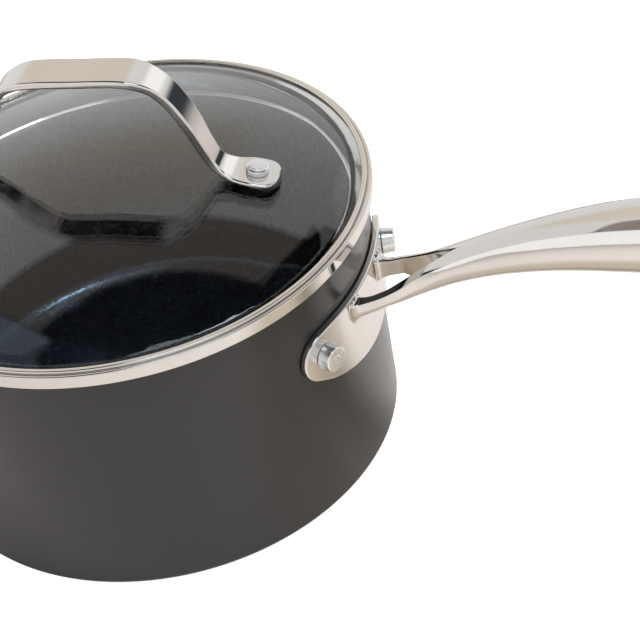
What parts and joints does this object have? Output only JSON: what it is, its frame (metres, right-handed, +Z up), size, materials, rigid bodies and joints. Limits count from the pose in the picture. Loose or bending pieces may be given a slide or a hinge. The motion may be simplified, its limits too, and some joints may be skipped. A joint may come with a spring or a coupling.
{
  "type": "saucepan",
  "caption": "Small saucepan with a long forked steel handle and a lift-off domed glass lid that has a steel rim and a strap handle.",
  "frame": {"origin": "centre of the pan's flat base, on the surface it stands on", "axes": "+Z up along the pan's axis; +X from the pan's axis along the long handle; +Y to the handle's left as seen from above"},
  "size_m": [0.396, 0.192, 0.1605],
  "materials": {
    "anodised": "satin dark grey hard-anodised",
    "polished_steel": "polished stainless steel",
    "rivet": "brushed",
    "glass": "clear tempered",
    "silicone": "matt black"
  },
  "bodies": {
    "pan": {"pan_body": "anodised", "long_handle": "polished_steel", "pan_rivet_near": "rivet", "pan_rivet_far": "rivet"},
    "lid": {"lid_rim": "polished_steel", "lid_glass": "glass", "lid_handle": "polished_steel", "foot_pad_right": "silicone", "foot_pad_left": "silicone", "lid_washer_right": "silicone", "lid_washer_left": "silicone", "lid_rivet_right": "rivet", "lid_rivet_left": "rivet"}
  },
  "joints": [
    {"name": "lid_lift", "type": "slide", "parent": "pan", "child": "lid", "axis": [0, 0, 1], "range_m": [0, 0.12]}
  ]
}
